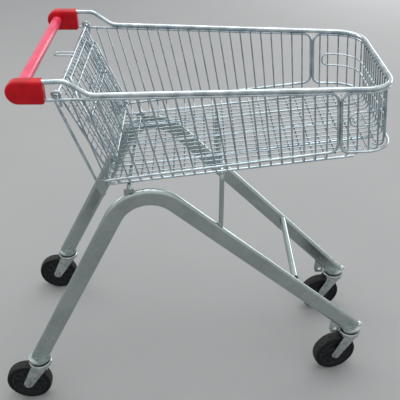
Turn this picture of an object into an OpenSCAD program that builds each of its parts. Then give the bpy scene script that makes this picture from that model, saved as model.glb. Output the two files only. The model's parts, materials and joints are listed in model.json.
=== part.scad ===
// Shopping cart: wire basket on two bent flat-oval side tubes, four swivel casters,
// a rear gate that swings forward for nesting, and a fold-down child seat on the gate.
// +X is forward, +Y is the cart's left side, +Z is up, and z = 0 is the floor.

/* [Casters] */
// Diameter of each wheel
wheel_d = 125; // [115:1:127]
// Width of the tyre tread
wheel_w = 32; // [24:1:33]
// Distance that each wheel trails behind its swivel axis
trail = 40; // [34:1:42]
// Swivel of the right front caster from straight back
turn_front_right = 13; // [-40:1:40]
// Swivel of the left front caster from straight back
turn_front_left = 10; // [-40:1:40]

/* [Side tubes] */
// Distance between the rear and front swivel axes
wheelbase = 882; // [860:1:900]
// Half the distance between the two rear swivel axes
rear_half_track = 235; // [228:1:240]
// Half the distance between the two front swivel axes
front_half_track = 128; // [122:1:140]
// Depth of the flat-oval tube
tube_depth = 45; // [38:1:48]
// Thickness of the flat-oval tube
tube_thick = 20; // [16:1:22]
// Wall of the flat-oval tube
tube_wall = 2; // [1.5:0.1:3]
// Radius of the arch, to the tube's middle
arch_r = 95; // [85:1:105]

/* [Basket] */
// Height of the rim at its rear end
rim_z = 930; // [920:1:935]
// Diameter of the rim rod
rim_d = 11; // [9:0.5:12]
// Diameter of the panel frame rods
frame_d = 6.5; // [5:0.5:7]
// Diameter of the upright wires
wire_d = 3.8; // [3:0.1:4.5]
// Diameter of the thin lengthwise floor wires
fine_d = 3; // [2:0.1:3.5]
// Number of gaps between the upright wires along one side
side_gaps = 22; // [16:1:24]
// Radius of the basket's two front corners
corner_r = 70; // [50:1:75]

/* [Gate and seat] */
// Length of the gate from its pivot to its bottom rod
gate_len = 236; // [232:1:238]
// Height of the folded child seat back
back_len = 190; // [176:1:196]
// Depth of the child seat flap
flap_len = 97; // [80:1:98]

/* [Handle] */
// Diameter of the handle's plastic sleeve
sleeve_d = 25; // [22:0.5:27]
// Height of the handle's centre
handle_z = 943; // [940:1:946]
// Diameter of the steel tube inside the sleeve
core_d = 21; // [18:0.5:21]

/* [Hidden] */
$fn = 32;

// Colours
zinc = [0.72, 0.75, 0.74];
bright_zinc = [0.82, 0.84, 0.83];
red = [0.72, 0.02, 0.05];
sleeve_red = [0.86, 0.25, 0.32];
black = [0.06, 0.06, 0.07];

LEFT = 1;
RIGHT = -1;
// Hair gap at each end of a bend, so that straights and bends are separate exact solids
hair = 0.01;
wheel_r = wheel_d / 2;

// The origin is the middle of the bounding box on the floor.
front_end_x = 915.7;
x_mid = (front_end_x - trail - wheel_r) / 2;

// Basket lines, each measured from the rear swivel axes along X
rim_slope = 0.0122;
bottom_slope = 0.129;
floor_slope = 0.115;
side_x0 = 213;
post_top_x = 746;
post_bottom_x = 760;
front_top_x = 870;
front_bottom_x = 887;
front_bottom_z = 773;
function rim_height(x) = rim_z - rim_slope * (x - side_x0);
function low_height(x) = rim_height(x) - (rim_d + frame_d) / 2;
function bottom_height(x) = 705 + bottom_slope * (x - 211);
function floor_height(x) = 692 + floor_slope * (x - 250);
function top_half(x) = 225.5 - 0.0685 * (x - side_x0);
function bottom_half(x) = 204.5 - 0.0145 * (x - 211);

// Vector helpers
function unit(v) = v / norm(v);
function bend_half(p, q, r) = acos(unit(p - q) * unit(r - q)) / 2;
function flip(points, side) = [for (p = points) [p[0], side * p[1], p[2]]];

// ---------- general shapes ----------

// A straight round rod between two points
module rod(a, b, d) {
    v = b - a;
    translate(a)
        rotate([0, acos(v[2] / norm(v)), atan2(v[1], v[0])])
            cylinder(d = d, h = norm(v));
}

// The round bend of a rod at corner q, between the directions to p and s
module rod_bend(p, q, s, r, d) {
    half = bend_half(p, q, s);
    to_p = unit(p - q);
    to_s = unit(s - q);
    centre = q + unit(to_p + to_s) * r / sin(half);
    start = q + to_p * r / tan(half);
    ax = unit(start - centre);
    az = unit(cross(to_s, to_p));
    ay = cross(az, ax);
    turn = 180 - 2 * half;
    multmatrix([
        [ax[0], ay[0], az[0], centre[0]],
        [ax[1], ay[1], az[1], centre[1]],
        [ax[2], ay[2], az[2], centre[2]],
        [0, 0, 0, 1]
    ])
        rotate_extrude(angle = turn, $fn = 72)
            translate([r, 0])
                circle(d = d, $fn = 32);
}

// How far the bend of radius r at corner q eats into its two straights
function bend_cut(p, q, s, r) = r == 0 ? 0 : r / tan(bend_half(p, q, s)) + hair;

// A rod bent at every inner point of a route, with one bend radius per point
module bent_rod(points, radii, d) {
    n = len(points);
    cut = [for (i = [0 : n - 1]) (i == 0 || i == n - 1) ? 0
        : bend_cut(points[i - 1], points[i], points[i + 1], radii[i])];
    for (i = [0 : n - 2]) {
        dir = unit(points[i + 1] - points[i]);
        rod(points[i] + dir * cut[i], points[i + 1] - dir * cut[i + 1], d);
    }
    for (i = [1 : n - 2])
        rod_bend(points[i - 1], points[i], points[i + 1], radii[i], d);
}

// A closed loop of bent rod
module closed_rod(points, radii, d) {
    n = len(points);
    cut = [for (i = [0 : n - 1])
        bend_cut(points[(i + n - 1) % n], points[i], points[(i + 1) % n], radii[i])];
    for (i = [0 : n - 1]) {
        next = (i + 1) % n;
        dir = unit(points[next] - points[i]);
        rod(points[i] + dir * cut[i], points[next] - dir * cut[next], d);
        rod_bend(points[(i + n - 1) % n], points[i], points[next], radii[i], d);
    }
}

// A flat oval, long along X
module oval(depth, thick) {
    square([depth - thick, thick], center = true);
    for (end = [-1, 1])
        translate([end * (depth - thick) / 2, 0])
            circle(d = thick);
}

// ---------- side tubes ----------

// The tube's middle line lies in an upright plane through its two swivel axes
toe = atan((rear_half_track - front_half_track) / wheelbase);
plan_length = wheelbase / cos(toe);
leg_cut_z = 157;
rear_leg = 62.3;
front_leg = 43.2;
rear_foot = [2, leg_cut_z];
front_foot = [plan_length + 1, leg_cut_z];
// Where the two straight legs would meet
apex_x = (front_foot[0] * tan(front_leg) + rear_foot[0] * tan(rear_leg))
    / (tan(rear_leg) + tan(front_leg));
apex = [apex_x, leg_cut_z + (apex_x - rear_foot[0]) * tan(rear_leg)];
arch_turn = rear_leg + front_leg;
arch_cut = arch_r * tan(arch_turn / 2);
rear_leg_len = norm(apex - rear_foot) - arch_cut;
front_leg_len = norm(apex - front_foot) - arch_cut;
// Extra length below the cut, so that the slanted ends are full
leg_extra = 40;

// Height of the tube's middle line and half its width at a place along X
function leg_height(x) = leg_cut_z + (front_foot[0] - x / cos(toe)) * tan(front_leg);
function tube_half(x) = rear_half_track - x * tan(toe);

module on_tube_plane(side) {
    translate([0, side * rear_half_track, 0])
        rotate([0, 0, -side * toe])
            children();
}

// The whole arch as a solid of one oval section
module arch_body(depth, thick) {
    translate([rear_foot[0], 0, rear_foot[1]])
        rotate([0, 90 - rear_leg, 0])
            translate([0, 0, -leg_extra])
                linear_extrude(leg_extra + rear_leg_len - hair)
                    oval(depth, thick);
    translate([front_foot[0], 0, front_foot[1]])
        rotate([0, front_leg - 90, 0])
            translate([0, 0, -leg_extra])
                linear_extrude(leg_extra + front_leg_len - hair)
                    oval(depth, thick);
    bend_start = rear_foot + rear_leg_len * [cos(rear_leg), sin(rear_leg)];
    centre = bend_start + arch_r * [sin(rear_leg), -cos(rear_leg)];
    translate([centre[0], 0, centre[1]])
        rotate([90, 0, 0])
            rotate([0, 0, 90 - front_leg])
                rotate_extrude(angle = arch_turn, $fn = 96)
                    translate([arch_r, 0])
                        oval(depth, thick);
}

module side_tube(side) {
    color(zinc)
        on_tube_plane(side)
            difference() {
                arch_body(tube_depth, tube_thick);
                arch_body(tube_depth - 2 * tube_wall, tube_thick - 2 * tube_wall);
                translate([-200, -50, leg_cut_z - 100])
                    cube([plan_length + 400, 100, 100]);
            }
}

// ---------- under-frame ----------

cross_x = 703;
cross_z = 348;
cross_d = 18;
stay_d = 12;
front_stay_x = 496;
rear_stay_x = 277;
rod_d = 6;
// The stays carry the thick floor rods, which lie under the cross wires
function stay_height(x) = floor_height(x) - wire_d / 2 - rod_d - stay_d / 2;

module cross_tube() {
    reach = tube_half(cross_x) - tube_thick / 2;
    color(bright_zinc)
        difference() {
            rod([cross_x, -reach, cross_z], [cross_x, reach, cross_z], cross_d);
            rod([cross_x, -reach - 1, cross_z], [cross_x, reach + 1, cross_z], cross_d - 4);
        }
}

// A round bar bent down at both ends, standing on the two front legs
module front_stay() {
    half = tube_half(front_stay_x) - 2;
    top = stay_height(front_stay_x);
    foot = leg_height(front_stay_x) + tube_depth / 2 / cos(front_leg) - 8;
    color(zinc)
        difference() {
            bent_rod([
                [front_stay_x, -half, foot], [front_stay_x, -half, top],
                [front_stay_x, half, top], [front_stay_x, half, foot]
            ], [0, 24, 24, 0], stay_d);
            for (side = [LEFT, RIGHT])
                on_tube_plane(side)
                    arch_body(tube_depth, tube_thick);
        }
}

// A straight bar across the two arches, with a foot down to each of them
module rear_stay() {
    half = tube_half(rear_stay_x);
    top = stay_height(rear_stay_x);
    color(zinc)
        difference() {
            union() {
                rod([rear_stay_x, -half - 8, top], [rear_stay_x, half + 8, top], stay_d);
                for (side = [LEFT, RIGHT])
                    translate([rear_stay_x - 12, side * half - 2, top - 26])
                        cube([24, 4, 26]);
            }
            for (side = [LEFT, RIGHT])
                on_tube_plane(side)
                    arch_body(tube_depth, tube_thick);
        }
}

// A flat lug with one hole behind each front caster, under the end of the tube
lug_back = 44.5;
lug_hole_z = 150;
module caster_lugs() {
    color(bright_zinc)
        for (side = [LEFT, RIGHT])
            on_tube_plane(side)
                difference() {
                    translate([plan_length - lug_back, 0, 0])
                        rotate([90, 0, 0])
                            translate([0, 0, -2])
                                linear_extrude(4)
                                    polygon([[-17, 148], [-12, 136], [8, 136],
                                        [12, 144], [13, 176], [-17, 206]]);
                    translate([plan_length - lug_back, 0, lug_hole_z])
                        rotate([90, 0, 0])
                            cylinder(d = 11, h = 20, center = true);
                    arch_body(tube_depth, tube_thick);
                }
}

// ---------- casters, in a frame on the swivel axis with the wheel behind it ----------

axle_d = 8;
axle_bore = 8.1;
pin_d = 12;
crown_z = 131.5;
crown_t = 3;
crown_r = 31;
race_z = 143.7;
race_r = 27;
plate_z = 151;
plate_r = 30;
leg_t = 2.5;
leg_y = wheel_w / 2 + 2.5;
ball_d = race_z - crown_z - crown_t - 0.7;
ball_ring_r = 20;
ball_count = 14;
fit_gap = 0.05;

function fork_mount(end, side) = end == "rear"
    ? [0, side * rear_half_track, 0]
    : [wheelbase, side * front_half_track, 0];
function fork_turn(end, side) = end == "rear" ? 0
    : side == LEFT ? turn_front_left : turn_front_right;

// The four places of the casters, for the pieces that don't swivel
module at_casters() {
    for (end = ["rear", "front"])
        for (side = [LEFT, RIGHT])
            translate(fork_mount(end, side))
                children();
}

// One caster's place and swivel, for its turning pieces
module at_fork(end, side) {
    translate(fork_mount(end, side))
        rotate([0, 0, fork_turn(end, side)])
            children();
}

module at_axle() {
    translate([-trail, 0, wheel_r])
        rotate([90, 0, 0])
            children();
}

// Where a line from outside point p touches a circle
function touch(p, c, r, way) =
    let (v = p - c, a = atan2(v[1], v[0]) + way * acos(r / norm(v)))
    c + r * [cos(a), sin(a)];

// A cheek tapers from the crown to a round end at the axle
module fork_cheek() {
    end_r = 13;
    axle = [-trail, wheel_r];
    back = [-23, crown_z + 1];
    front = [23, crown_z + 1];
    polygon([back, front, touch(front, axle, end_r, -1), touch(back, axle, end_r, 1)]);
    translate(axle)
        circle(r = end_r);
}

module fork() {
    color(bright_zinc)
        difference() {
            union() {
                translate([0, 0, crown_z])
                    cylinder(r = crown_r, h = crown_t, $fn = 64);
                // Upturned edge that holds the lower ball track
                translate([0, 0, crown_z + crown_t])
                    rotate_extrude($fn = 64)
                        polygon([[crown_r - 5.5, 0], [crown_r, 0], [crown_r, 5],
                            [crown_r - 2, 7.5], [crown_r - 4, 7.5]]);
                for (side = [LEFT, RIGHT])
                    translate([0, side * (leg_y + leg_t / 2), 0])
                        rotate([90, 0, 0])
                            linear_extrude(leg_t, center = true)
                                fork_cheek();
                // Rolled front web that joins the two cheeks above the wheel
                translate([18, -leg_y - leg_t / 2, crown_z - 12])
                    cube([2.5, 2 * leg_y + leg_t, 13]);
            }
            translate([0, 0, crown_z - 1])
                cylinder(d = pin_d + 2 * fit_gap, h = 20);
            at_axle()
                cylinder(d = axle_d + 0.02, h = 80, center = true);
        }
}

module axle_bolt() {
    out = leg_y + leg_t;
    color(bright_zinc)
        at_axle() {
            translate([0, 0, -out - 7])
                cylinder(d = axle_d, h = 2 * out + 12);
            // Hexagon head, with its washer face
            translate([0, 0, out])
                cylinder(d = 15, h = 1);
            translate([0, 0, out + 1])
                cylinder(d = 14.4, h = 6, $fn = 6);
            // Lock nut
            difference() {
                translate([0, 0, -out - 6])
                    union() {
                        cylinder(d = 14.4, h = 5, $fn = 6);
                        translate([0, 0, 5])
                            cylinder(d = 15, h = 1);
                    }
                translate([0, 0, -out - 8])
                    cylinder(d = axle_d + 0.02, h = 10);
            }
        }
}

hub_r = 49;
boss_r = 15;
bush_r = 7;
module hub() {
    half = wheel_w / 2;
    color(black)
        at_axle()
            rotate_extrude($fn = 72)
                polygon([
                    [bush_r, -half - 1.5], [boss_r, -half - 1.5], [boss_r + 1, -half + 3],
                    [boss_r + 5, -half + 6], [hub_r - 8, -half + 6], [hub_r - 6, -half + 2],
                    [hub_r, -half + 2], [hub_r, half - 2],
                    [hub_r - 6, half - 2], [hub_r - 8, half - 6], [boss_r + 5, half - 6],
                    [boss_r + 1, half - 3], [boss_r, half + 1.5], [bush_r, half + 1.5]
                ]);
}

module bush() {
    half = leg_y - 0.5;
    color([0.75, 0.6, 0.3])
        at_axle()
            difference() {
                cylinder(r = bush_r - 0.02, h = 2 * half, center = true);
                cylinder(d = axle_bore, h = 2 * half + 2, center = true);
            }
}

// The tread is slightly crowned, with rounded shoulders
module tyre() {
    half = wheel_w / 2;
    shoulder = 5;
    crown = 1.2;
    color(black)
        at_axle()
            rotate_extrude($fn = 96) {
                polygon([
                    [hub_r, -half + 2], [hub_r + 2, -half], [wheel_r - shoulder - crown, -half],
                    [wheel_r - crown, -half + shoulder], [wheel_r - 0.3, -half / 3],
                    [wheel_r, 0], [wheel_r - 0.3, half / 3],
                    [wheel_r - crown, half - shoulder], [wheel_r - shoulder - crown, half],
                    [hub_r + 2, half], [hub_r, half - 2]
                ]);
                for (side = [-1, 1])
                    translate([wheel_r - shoulder - crown, side * (half - shoulder)])
                        circle(r = shoulder);
            }
}

module head_plates() {
    color(bright_zinc)
        at_casters()
            difference() {
                translate([0, 0, plate_z])
                    cylinder(r = plate_r, h = leg_cut_z - plate_z, $fn = 64);
                translate([0, 0, plate_z - 1])
                    cylinder(d = pin_d + 0.02, h = 20);
            }
}

module upper_races() {
    color(bright_zinc)
        at_casters()
            difference() {
                translate([0, 0, race_z])
                    rotate_extrude($fn = 64)
                        polygon([[0, 0], [race_r - 3, 0], [race_r - 1, 1.5],
                            [race_r, 4], [race_r, plate_z - race_z], [0, plate_z - race_z]]);
                translate([0, 0, race_z - 1])
                    cylinder(d = pin_d + 0.02, h = 20);
            }
}

// Each kingpin has its head under the fork crown and its nut inside the leg
module kingpins() {
    color(bright_zinc)
        at_casters() {
            translate([0, 0, crown_z - 6.3])
                cylinder(d = 22, h = 6, $fn = 48);
            translate([0, 0, crown_z - 1])
                cylinder(d = pin_d, h = leg_cut_z - crown_z + 13);
            translate([0, 0, leg_cut_z])
                cylinder(d = 15.8, h = 9, $fn = 6);
        }
}

module race_balls() {
    color(bright_zinc)
        at_casters()
            for (i = [0 : ball_count - 1])
                rotate([0, 0, i * 360 / ball_count])
                    translate([ball_ring_r, 0, (crown_z + crown_t + race_z) / 2])
                        sphere(d = ball_d, $fn = 24);
}

// ---------- basket ----------

panel_r = 20;
wire_in = (frame_d + wire_d) / 2;
hook_bend = 14;
hook_tail = 12;

// The heavy rim runs from one handle cap round the basket to the other
module rim_rod() {
    half = [
        [96, top_half(96), 963], [164, top_half(164), 963],
        [side_x0, top_half(side_x0), rim_z],
        [front_top_x, top_half(front_top_x), rim_height(front_top_x)]
    ];
    color(bright_zinc)
        bent_rod(
            concat(half, [for (i = [3 : -1 : 0]) [half[i][0], -half[i][1], half[i][2]]]),
            [0, 28, 40, corner_r, corner_r, 40, 28, 0], rim_d);
}

// Half the distance between the two rods that make a post
post_gap = frame_d / 2 + 0.15;

// Each side frame rod runs under the rim, down the post and back along the bottom
module side_frame(side) {
    top_x = post_top_x - post_gap;
    bottom_x = post_bottom_x - post_gap;
    color(bright_zinc)
        bent_rod(flip([
            [96, top_half(96), low_height(96)],
            [top_x, top_half(top_x), low_height(top_x)],
            [bottom_x, bottom_half(bottom_x), bottom_height(bottom_x)],
            [200, bottom_half(200), bottom_height(200)]
        ], side), [0, panel_r, panel_r, 0], frame_d);
}

// The front frame is one closed loop, wrapped round the two front corners
module front_frame() {
    tx = post_top_x + post_gap;
    bx = post_bottom_x + post_gap;
    half = [
        [front_bottom_x, bottom_half(front_bottom_x) - 6, front_bottom_z],
        [bx, bottom_half(bx), front_bottom_z],
        [tx, top_half(tx), low_height(tx)],
        [front_top_x, top_half(front_top_x), low_height(front_top_x)]
    ];
    color(bright_zinc)
        closed_rod(
            concat(half, [for (i = [3 : -1 : 0]) [half[i][0], -half[i][1], half[i][2]]]),
            [corner_r, panel_r, panel_r, corner_r, corner_r, panel_r, panel_r, corner_r],
            frame_d);
}

// Upright wire number i of a side: its top and its corner at the floor
first_top_x = 143;
first_bottom_x = 205;
function wire_top_x(i) = first_top_x + i * (post_top_x - first_top_x) / side_gaps;
function wire_bottom_x(i) = first_bottom_x + i * (post_bottom_x - first_bottom_x) / side_gaps;
function side_lean(i) = (top_half(wire_top_x(i)) - bottom_half(wire_bottom_x(i)))
    / (low_height(wire_top_x(i)) - bottom_height(wire_bottom_x(i)));
// The corner lies where the leaning wire still touches the bottom frame rod above it
function wire_corner(i) = bottom_half(wire_bottom_x(i)) - wire_in - 0.1
    - side_lean(i) * (bottom_height(wire_bottom_x(i)) - floor_height(wire_bottom_x(i)));

module side_wires(side) {
    color(zinc)
        for (i = [1 : side_gaps - 1]) {
            tx = wire_top_x(i);
            bx = wire_bottom_x(i);
            corner = wire_corner(i);
            bent_rod(flip([
                [tx, top_half(tx) - wire_in, low_height(tx) + 2],
                [bx, corner, floor_height(bx)],
                [bx, corner - hook_bend - hook_tail, floor_height(bx)]
            ], side), [0, hook_bend, 0], wire_d);
        }
}

front_pitch = 20;
front_half_count = 5;
corner_steps = 4;
front_side_count = 2;
// Corner centres of the top and bottom front outlines, and their sides
top_centre = [front_top_x - corner_r, top_half(front_top_x) - corner_r + 2];
bottom_centre = [front_bottom_x - corner_r, bottom_half(front_bottom_x) - 6 - corner_r + 1];

// One hooked wire of the front panel, from plan point t down to plan point b, turned in along n
module front_wire(t, b, n, tail) {
    floor_z = floor_height(b[0]) + fine_d;
    bent_rod([
        [t[0], t[1], low_height(t[0]) + 2],
        [b[0], b[1], floor_z],
        [b[0] + n[0] * tail, b[1] + n[1] * tail, floor_z]
    ], [0, hook_bend, 0], wire_d);
}

module front_wires() {
    color(zinc) {
        for (k = [-front_half_count : front_half_count])
            front_wire([front_top_x - wire_in, k * front_pitch],
                [front_bottom_x - wire_in, k * front_pitch], [-1, 0],
                hook_bend + hook_tail);
        for (side = [LEFT, RIGHT]) {
            for (j = [0 : corner_steps - 1]) {
                a = 12 + j * 66 / (corner_steps - 1);
                n = [cos(a), side * sin(a)];
                top = [top_centre[0], side * top_centre[1]] + (corner_r - wire_in) * n;
                bottom = [bottom_centre[0], side * bottom_centre[1]]
                    + (corner_r - wire_in) * n;
                front_wire(top, bottom, -n, hook_bend + hook_tail);
            }
            for (j = [1 : front_side_count]) {
                tx = post_top_x + 20 * j;
                bx = post_bottom_x + 22 * j;
                front_wire([tx, side * (top_half(tx) - wire_in)],
                    [bx, side * (bottom_half(bx) - wire_in - 1.5 * j)], [0, -side],
                    hook_bend + hook_tail);
            }
        }
    }
}

// A closed hoop of wire round the inside of the front panel
hoop_d = 4;
hoop_low = 832;
hoop_high = 864;
hoop_back_x = 778;
hoop_flare = 0.13;
module front_hoop() {
    reach = corner_r - wire_in - (wire_d + hoop_d) / 2 - 0.15;
    top_z = low_height(front_top_x) + 2;
    bottom_z = floor_height(front_bottom_x) + fine_d;
    slant = sqrt(1 + hoop_flare * hoop_flare);
    // The corner wires' centre at height z: the hoop runs at one reach inside them
    function centre(z) = top_centre
        + (bottom_centre - top_centre) * (top_z - z) / (top_z - bottom_z);
    function at_front(z) = [
        centre(z)[0] + reach, centre(z)[1] + reach * (slant - hoop_flare), z
    ];
    function at_side(z) = [
        hoop_back_x,
        centre(z)[1] + reach * slant + hoop_flare * (centre(z)[0] - hoop_back_x), z
    ];
    half = [at_front(hoop_low), at_side(hoop_low), at_side(hoop_high), at_front(hoop_high)];
    color(bright_zinc)
        closed_rod(
            concat(half, [for (i = [3 : -1 : 0]) [half[i][0], -half[i][1], half[i][2]]]),
            [reach, 15, 15, reach, reach, 15, 15, reach], hoop_d);
}

// ---------- basket floor ----------

floor_back_x = 240;
floor_front_x = front_bottom_x - wire_in - hook_bend - hook_tail;

module floor_cross_wires() {
    color(zinc)
        for (i = [1 : side_gaps + 4]) {
            x = wire_bottom_x(i);
            inset = x > post_bottom_x ? (x - post_bottom_x) * 0.28 : 0;
            half = wire_corner(i) - hook_bend - hook_tail - inset;
            rod([x, -half, floor_height(x)], [x, half, floor_height(x)], wire_d);
        }
}

module floor_line(y0, y1, x0, x1, lift, d) {
    rod([x0, y0, floor_height(x0) + lift], [x1, y1, floor_height(x1) + lift], d);
}

module floor_long_wires() {
    lift = (wire_d + fine_d) / 2;
    color(zinc)
        for (k = [-8 : 8]) {
            y = k * front_pitch;
            edge = abs(k) > front_half_count;
            floor_line(y, y, floor_back_x, edge ? 820 : floor_front_x, lift, fine_d);
        }
}

// Thick rods under the cross wires: three down the floor and one along each edge
module floor_rods() {
    drop = -(wire_d + rod_d) / 2;
    color(bright_zinc) {
        for (k = [-1, 0, 1])
            floor_line(106 * k, 93 * k, floor_back_x - 12, 862, drop, rod_d);
        for (side = [LEFT, RIGHT])
            floor_line(side * (bottom_half(228) - 20), side * (bottom_half(800) - 24),
                228, 800, drop, rod_d);
    }
}

stop_x = 232;
stop_z = 707;
module gate_stop_rod() {
    half = bottom_half(stop_x) - wire_in - wire_d / 2;
    color(bright_zinc)
        rod([stop_x, -half, stop_z], [stop_x, half, stop_z], frame_d);
}

// Flat tabs that hang from the rear corners of the basket
module corner_tabs() {
    color(zinc)
        for (side = [LEFT, RIGHT])
            translate([0, side * (bottom_half(200) + frame_d / 2 + 1.5), 0])
                rotate([90, 0, 0])
                    linear_extrude(3, center = true)
                        polygon([[203, 711], [222, 711], [226, 690], [223, 670],
                            [212, 670], [204, 690]]);
}

// ---------- gate ----------

pivot_x = 143;
pivot_z = 929.3;
pivot_d = 7;
gate_rod_d = 5.5;
gate_wire_d = 2.6;
gate_pitch = 20;
row_pitch = 20;
gate_half_top = 205;
gate_half_bottom = 190;
brace = 118;
stop_gap = 0.4;
stop_reach = norm([stop_x - pivot_x, pivot_z - stop_z]);
// The gate leans until its frame rests on the stop rod
gate_lean = atan((stop_x - pivot_x) / (pivot_z - stop_z))
    + asin(((frame_d + gate_rod_d) / 2 + stop_gap) / stop_reach);

// Gate frame: origin on the pivot, +Z up along the gate and +X off its front face
module on_gate() {
    translate([pivot_x, 0, pivot_z])
        rotate([0, -gate_lean, 0])
            children();
}

function gate_half(z) = gate_half_top + (gate_half_bottom - gate_half_top) * -z / gate_len;

// Each rear rod of the basket ends in a hook over the gate's top rod
module gate_hook_rods() {
    top = 938;
    y = (top_half(pivot_x) + bottom_half(204)) / 2;
    color(zinc)
        for (side = [LEFT, RIGHT])
            bent_rod(flip([
                [204, bottom_half(204) - frame_d, bottom_height(204) - 4],
                [132.6, top_half(133) - frame_d - 0.2, top],
                [150.7, top_half(150) - frame_d - 0.2, top],
                [150.7, top_half(150) - frame_d - 0.2, 904]
            ], side), [0, 7.4, 7.4, 0], frame_d);
}

module gate_frame() {
    reach = top_half(pivot_x) + frame_d / 2;
    // The side rods lean, so their ends need a little more room than the braces
    below = -pivot_d / 2 - hair;
    side_below = below - 0.2;
    color(bright_zinc)
        on_gate() {
            rod([0, -reach, 0], [0, reach, 0], pivot_d);
            bent_rod([
                [0, -gate_half_top, side_below], [0, -gate_half_bottom, -gate_len],
                [0, gate_half_bottom, -gate_len], [0, gate_half_top, side_below]
            ], [0, 14, 14, 0], gate_rod_d);
            for (side = [LEFT, RIGHT])
                rod([0, side * brace, below],
                    [0, side * brace, gate_rod_d / 2 + hair - gate_len], gate_rod_d);
        }
}

leg_low = -100;
leg_high = -20;
leg_in = 30;
leg_out = 112;
// The fine grid on the frame's front face, left open at the child's two leg holes
module gate_wires() {
    back = (gate_rod_d + gate_wire_d) / 2;
    front = back + gate_wire_d;
    count = floor((gate_half_bottom - 6) / gate_pitch);
    rows = concat([-5], [for (z = [leg_high : -row_pitch : 4 - gate_len]) z]);
    color(zinc)
        on_gate() {
            for (k = [-count : count]) {
                y = k * gate_pitch;
                if (abs(y) > leg_in && abs(y) < leg_out) {
                    rod([front, y, -3], [front, y, leg_high], gate_wire_d);
                    rod([front, y, leg_low], [front, y, -gate_len], gate_wire_d);
                } else
                    rod([front, y, -3], [front, y, -gate_len], gate_wire_d);
            }
            for (z = rows)
                if (z < leg_high && z > leg_low + 1) {
                    rod([back, -leg_in, z], [back, leg_in, z], gate_wire_d);
                    for (side = [LEFT, RIGHT])
                        rod([back, side * leg_out, z], [back, side * gate_half(z), z],
                            gate_wire_d);
                } else
                    rod([back, -gate_half(z), z], [back, gate_half(z), z], gate_wire_d);
        }
}

// ---------- child seat, in the gate's frame ----------

back_u = 17;
back_z = 16 - gate_len;
back_half = 166;
back_rod_d = 5;
back_pitch = 30;
flap_u = 10.9;
flap_z = -106;
flap_half = 130;
pin_rod_d = 5;
knuckle_d = 9;
knuckle_w = 14;
lug_t = 3;
lug_y = 150;
seat_bore = 5.14;

// A small plate on the gate with a hole for a seat pivot at u, z
module seat_lug(side, u, z) {
    face = gate_rod_d / 2 + gate_wire_d;
    difference() {
        translate([face, side * lug_y - lug_t / 2, z - 6])
            cube([u - face + 4.4, lug_t, 12]);
        translate([u, side * lug_y, z])
            rotate([90, 0, 0])
                children();
    }
}

// The lower lugs carry the seat back, and the upper ones the flap's pin
module seat_lugs() {
    color(bright_zinc)
        on_gate()
            for (side = [LEFT, RIGHT]) {
                seat_lug(side, back_u, back_z)
                    cylinder(d = seat_bore, h = 10, center = true);
                seat_lug(side, flap_u, flap_z)
                    cylinder(d = pin_rod_d + 0.02, h = 10, center = true);
            }
}

// The fixed pin that the flap's knuckles turn on
module flap_pin() {
    color(bright_zinc)
        on_gate()
            rod([flap_u, -lug_y - 4, flap_z], [flap_u, lug_y + 4, flap_z], pin_rod_d);
}

// The seat back's bottom rod is its own pivot, in the lower lugs
module seat_back_frame() {
    color(bright_zinc)
        on_gate()
            translate([back_u, 0, back_z]) {
                closed_rod([
                    [0, -back_half, 0], [0, -back_half, back_len],
                    [0, back_half, back_len], [0, back_half, 0]
                ], [14, 22, 22, 14], back_rod_d);
            }
}

module seat_back_wires() {
    lift = (back_rod_d + gate_wire_d) / 2;
    count = floor((back_half - 8) / back_pitch);
    color(zinc)
        on_gate()
            translate([back_u, 0, back_z]) {
                for (k = [-count : count])
                    rod([lift, k * back_pitch, 8], [lift, k * back_pitch, back_len],
                        gate_wire_d);
                for (z = [18, 66, 150])
                    rod([lift - gate_wire_d, -back_half + 2.8, z],
                        [lift - gate_wire_d, back_half - 2.8, z], gate_wire_d);
            }
}

// The wire flap folds up flat between the gate and the seat back
module seat_flap() {
    count = floor((flap_half - 10) / back_pitch);
    foot = 3.5;
    inner = flap_half - back_rod_d / 2 - hair;
    cross_z = 14;
    cross_d = 4;
    color(zinc)
        on_gate()
            translate([flap_u, 0, flap_z]) {
                bent_rod([
                    [0, -flap_half, foot], [0, -flap_half, flap_len],
                    [0, flap_half, flap_len], [0, flap_half, foot]
                ], [0, 16, 16, 0], back_rod_d);
                rod([0, -inner, cross_z], [0, inner, cross_z], cross_d);
                for (k = [-count : count])
                    rod([0, k * back_pitch, cross_z + cross_d / 2 + hair],
                        [0, k * back_pitch, flap_len - back_rod_d / 2 - hair], gate_wire_d);
                for (side = [LEFT, RIGHT])
                    translate([0, side * flap_half, 0])
                        rotate([90, 0, 0])
                            difference() {
                                cylinder(d = knuckle_d, h = knuckle_w, center = true);
                                cylinder(d = seat_bore, h = knuckle_w + 2, center = true);
                            }
            }
}

// ---------- handle ----------

cap_back = 43;
cap_front = 122;
cap_r = 26;
cap_y = 232;
cap_half_t = 14;
cap_edge = 9;
handle_x = cap_back + cap_r;
core_half = cap_y + 4;

module handle_core() {
    color(bright_zinc)
        difference() {
            rod([handle_x, -core_half, handle_z], [handle_x, core_half, handle_z], core_d);
            rod([handle_x, -core_half - 1, handle_z], [handle_x, core_half + 1, handle_z],
                core_d - 3);
        }
}

module handle_sleeve() {
    half = cap_y - cap_half_t + 6;
    color(sleeve_red)
        difference() {
            rod([handle_x, -half, handle_z], [handle_x, half, handle_z], sleeve_d);
            rod([handle_x, -half - 1, handle_z], [handle_x, half + 1, handle_z],
                core_d + 0.02);
        }
}

// A rounded block, half round at the back, with pockets for the handle and the two rods
module cap_section() {
    square([2 * (cap_r - cap_edge), 2 * cap_half_t], center = true);
    square([2 * cap_r, 2 * (cap_half_t - cap_edge)], center = true);
    for (end = [-1, 1])
        for (face = [-1, 1])
            translate([end * (cap_r - cap_edge), face * (cap_half_t - cap_edge)])
                circle(r = cap_edge);
}

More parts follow.
